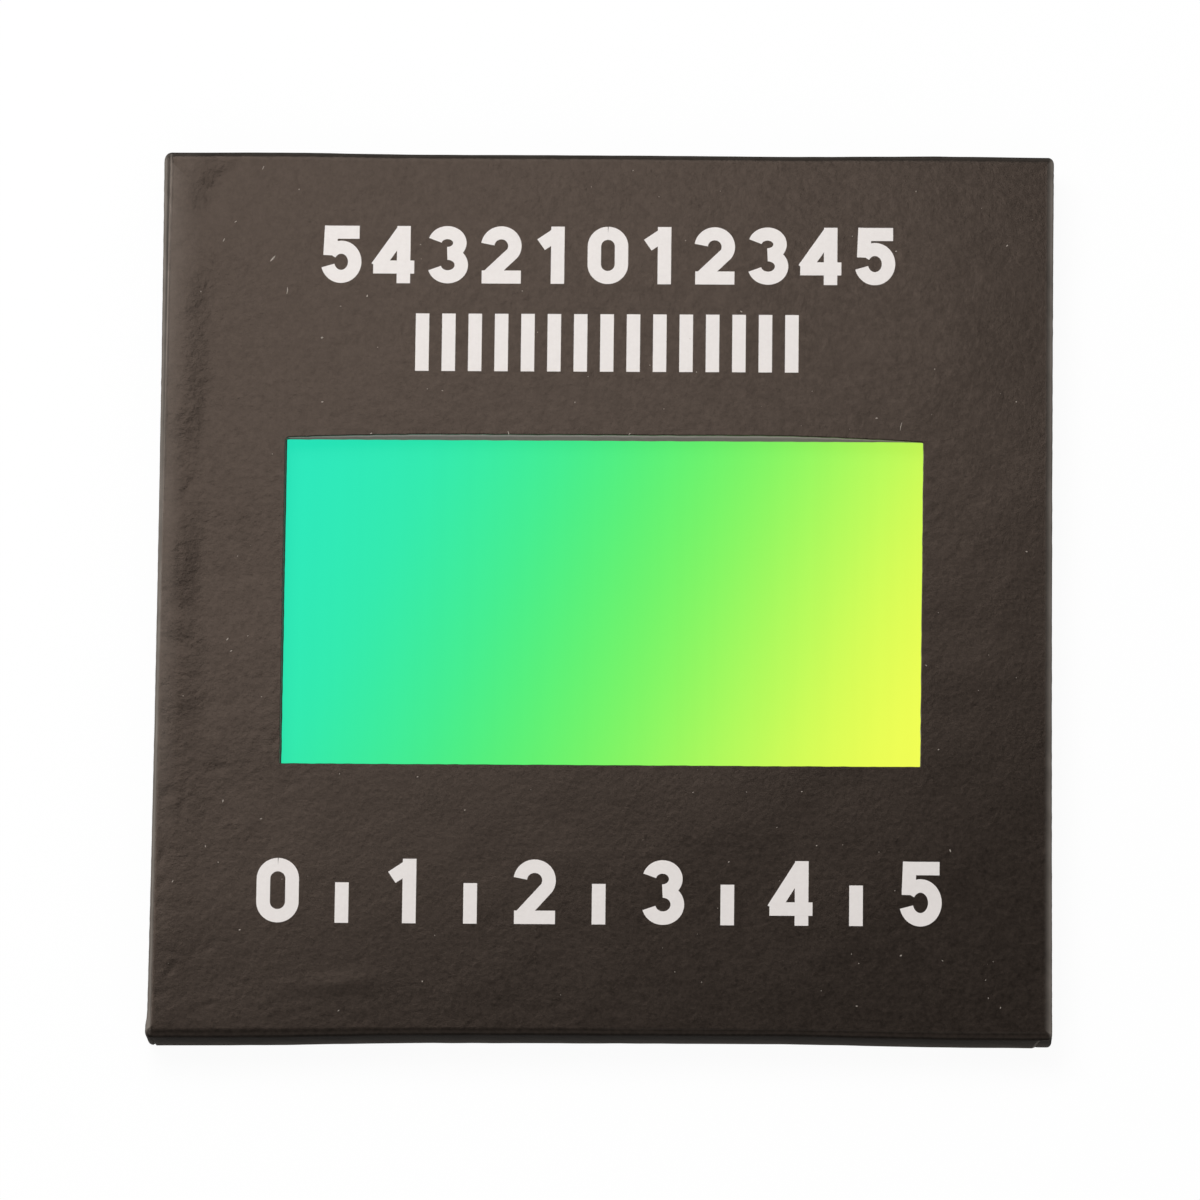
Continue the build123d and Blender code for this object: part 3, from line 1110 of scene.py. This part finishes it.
bar_places = np.linspace(-14.5, 14.6, 15)
bars = [[line((x, 17.65), (x, 22.3))] for x in bar_places]
lay_print("print_bars", bars)

scale_places = np.linspace(-25.1, 24.9, 6)
scale = numbers(range(6), scale_places, -26.5, 3.3, 5.1)
ticks = [[line((x + 5, -26.5), (x + 5, -23.3))] for x in scale_places[:-1]]
lay_print("print_scale", scale + ticks)

# %% [markdown]
# Dust shows on a dark laminate. The larger bits lie where they were found on
# the real card, and a fine dusting is strewn at random. Each is a thread: an
# arc with a flat belly and a low back, thin at both ends. A speck is a very
# short one.

# %% Lint and dust
# x, y, length, width, direction in degrees and, where it has one, its curl
LINT = [
    (-26.4, 26.7, 0.6, 0.11, 48, 10), (-25.2, 24.1, 0.6, 0.06, 82, 25),
    (-22.4, 20.3, 0.22, 0.12, 20), (-18.9, 23.7, 0.2, 0.09, 70),
    (-22.3, 15.1, 0.2, 0.1, 10), (-30.3, 28.2, 0.3, 0.07, 60, 30),
    (-29.4, 29.7, 0.22, 0.07, 35), (-27.3, 34.1, 0.35, 0.06, 65, 20),
    (21.3, 14, 0.18, 0.09, 0), (23.2, 13.35, 0.7, 0.045, 80, -15),
    (23.4, -28.8, 0.2, 0.1, 30), (20, -32.8, 0.16, 0.09, 0),
    (27.2, -20.5, 0.24, 0.08, 110), (31.5, 28, 0.18, 0.08, 45),
    (-29.4, -4, 0.26, 0.07, 55), (-29.1, -4.95, 0.2, 0.06, 20),
    (-29.5, -16.9, 0.24, 0.09, 75), (-26.5, -18.3, 0.2, 0.08, 15),
    (-30.8, -20.5, 0.18, 0.08, 95), (-33.3, -23.3, 0.22, 0.07, 60),
    (-28, -27.1, 0.18, 0.07, 25), (-7.6, 12.66, 0.3, 0.06, 100, 30),
    (1.9, 12.62, 0.26, 0.06, 60, -40), (-18.4, 12.58, 0.2, 0.07, 20),
]
SPECKS = 90
LINT_POINTS = 7
DUST_HALF = 34
DUST_GAP = 0.3


def thread(x, y, length, width, direction, curl=0):
    """Points and faces of one thread, lying on the front at x and y.

    It turns evenly by curl, and its half width is width / 2 times the square
    root of 1 - t^2, with t from -1 to 1 along it.
    """
    t = np.linspace(-1, 1, LINT_POINTS)
    heading = np.radians(direction + curl * t / 2)
    steps = np.stack([np.cos(heading), np.sin(heading)], axis=1)
    middle = np.cumsum(steps, axis=0) * length / (LINT_POINTS - 1)
    middle += (x, y) - middle[LINT_POINTS // 2]
    half = width / 2 * np.sqrt(1.04 - t * t)
    normal = np.stack([-np.sin(heading), np.cos(heading)], axis=1)
    across = np.array([1, 0, -1, -1, 0, 1]) * half[:, None]
    rise = np.array([0.2, 0.9, 0.2, -0.6, -0.6, -0.6]) * half[:, None]
    return strip(middle, normal, across, rise)


def dusting(count):
    """Random specks on the front, outside the window, as rows like LINT's."""
    draw = np.random.default_rng(91)
    place = draw.uniform(-DUST_HALF, DUST_HALF, (4 * count, 2))
    off = np.abs(place - WINDOW_CENTRE) - WINDOW_HALF
    place = place[(off > DUST_GAP).any(axis=1)][:count]
    column = (count, 1)
    size = draw.uniform(0.04, 0.075, column) * draw.uniform(0.6, 1.3, column)
    length = size * draw.uniform(1, 2.4, column)
    return np.hstack([place, length, size, draw.uniform(0, 180, column)])


threads = [thread(*speck) for speck in [*LINT, *dusting(SPECKS)]]
lint_finish = Finish("lint", (0.42, 0.37, 0.32), 0.95, specular=0.1)
dusty = lint_finish.blend(lint_finish.noise(2.5), (0.2, 0.17, 0.14), (0.62, 0.56, 0.5))
lint_finish.set("Base Color", dusty)
lint_finish.bumps((lint_finish.noise(9.0), 0.01))
add_piece("lint_and_dust", *joined(threads), lint_finish.material, "print_white")

# %% [markdown]
# Studio: a pale floor, a soft box up to the left behind the card, a wide dim
# panel in front of it and an even dome. What we see on the dark laminate is
# mostly the soft box mirrored in its grain: its lower edge slants, and past it
# the sheen fades towards the lower right. The floor is white to the camera and
# to glass, and a little to a gloss, but dark for scattered light, so that none
# of it falls on the card. It is painted as well as glowing, so a shadow shows.

# %% Floor
FLOOR_DARK = (0.06, 0.056, 0.052)
CAMERA_SHARE = 0.94
GLOSSY_SHARE = 0.02
FLOOR_HALF = 2000.0
FLOOR_GAP = 0.02


def floor_finish():
    """White to the camera and in reflections, with the card's shadow left in."""
    finish = Finish("floor", FLOOR_DARK, 0.9, specular=0.0)
    light = finish.add("LightPath").outputs
    rays = {0: light["Is Camera Ray"], 1: light["Is Transmission Ray"]}
    seen = finish.add("Math", rays, operation="ADD", use_clamp=True).outputs[0]
    finish.set("Base Color", finish.blend(seen, FLOOR_DARK, (1, 1, 1)))
    glossy = {0: light["Is Glossy Ray"], 1: GLOSSY_SHARE, 2: finish.times(seen, CAMERA_SHARE)}
    share = finish.add("Math", glossy, operation="MULTIPLY_ADD").outputs[0]
    glow = finish.add("Emission").outputs[0]
    mixed = finish.add("MixShader", {0: share, 1: finish.shader.outputs[0], 2: glow})
    surface = finish.tree.nodes["Material Output"].inputs["Surface"]
    finish.tree.links.new(mixed.outputs[0], surface)
    return finish.material


plan = np.array([[-1, -1], [1, -1], [1, 1], [-1, 1]]) * FLOOR_HALF
corners = np.column_stack([plan, np.full(4, -FLOOR_GAP)])
floor_mesh = bpy.data.meshes.new("floor")
floor_mesh.from_pydata((corners / 1000).tolist(), [], [(0, 1, 2, 3)])
floor_mesh.materials.append(floor_finish())
floor = new_object("floor", floor_mesh)
print("floor at z =", -FLOOR_GAP, "mm")

# %% Lamps
def soft_box(name, place, size, power, spin=0.0):
    """Area lamp that faces the card, its first side along x, turned by spin."""
    lamp = bpy.data.lights.new(name, "AREA")
    lamp.shape = "RECTANGLE"
    lamp.size, lamp.size_y = size[0] / 1000, size[1] / 1000
    lamp.energy = power
    box = new_object(name, lamp)
    back = Vector(place).normalized()
    across = (Vector((1, 0, 0)) - back * back.x).normalized()
    turn = Matrix((across, back.cross(across), back)).transposed()
    turn = turn @ Matrix.Rotation(math.radians(spin), 3, "Z")
    box.matrix_world = Matrix.Translation(Vector(place) / 1000) @ turn.to_4x4()
    print(f"{name}: {back.angle(Vector((0, 0, 1))) * 57.3:.0f} degrees from overhead")


soft_box("key", place=(-94, 149, 386), size=(254, 220), power=1.23, spin=20.7)
soft_box("fill", place=(60, -600, 450), size=(1200, 700), power=1.5)

DOME = 0.3
world = bpy.data.worlds.new("studio")
bpy.context.scene.world = world
world.use_nodes = True
dome = world.node_tree.nodes["Background"].inputs
dome["Color"].default_value = (1, 1, 1, 1)
dome["Strength"].default_value = DOME

# %% [markdown]
# The camera stands where the photographer's did: nearly overhead, about twelve
# degrees towards the card's lower edge, with a long lens. Its place is found by
# turning the card instead: lean, yaw and roll it, step back along the view, and
# undo the turn.

# %% Camera
LEAN_BACK = math.radians(12.104)
YAW = math.radians(-1.6633)
ROLL = math.radians(-0.6562)
DISTANCE = 756.475
AIM_OFFSET = (0.332, 0.2146)
FOCAL = 289.09

turn = (
    Matrix.Rotation(ROLL, 3, "Z")
    @ Matrix.Rotation(-LEAN_BACK, 3, "X")
    @ Matrix.Rotation(YAW, 3, "Y")
)
lens = bpy.data.cameras.new("camera")
lens.sensor_width = 36.0
lens.lens = FOCAL
lens.clip_start, lens.clip_end = 0.01, 10.0
camera = new_object("camera", lens)
stand = Vector((-AIM_OFFSET[0], -AIM_OFFSET[1], DISTANCE)) / 1000
middle = Vector((0, 0, TOP / 2)) / 1000
camera.matrix_world = (
    Matrix.Translation(middle) @ turn.transposed().to_4x4() @ Matrix.Translation(stand)
)
bpy.context.scene.camera = camera
bpy.context.scene.view_settings.view_transform = "Standard"
print(f"camera {DISTANCE:.0f} mm away, lens {FOCAL:.0f} mm")
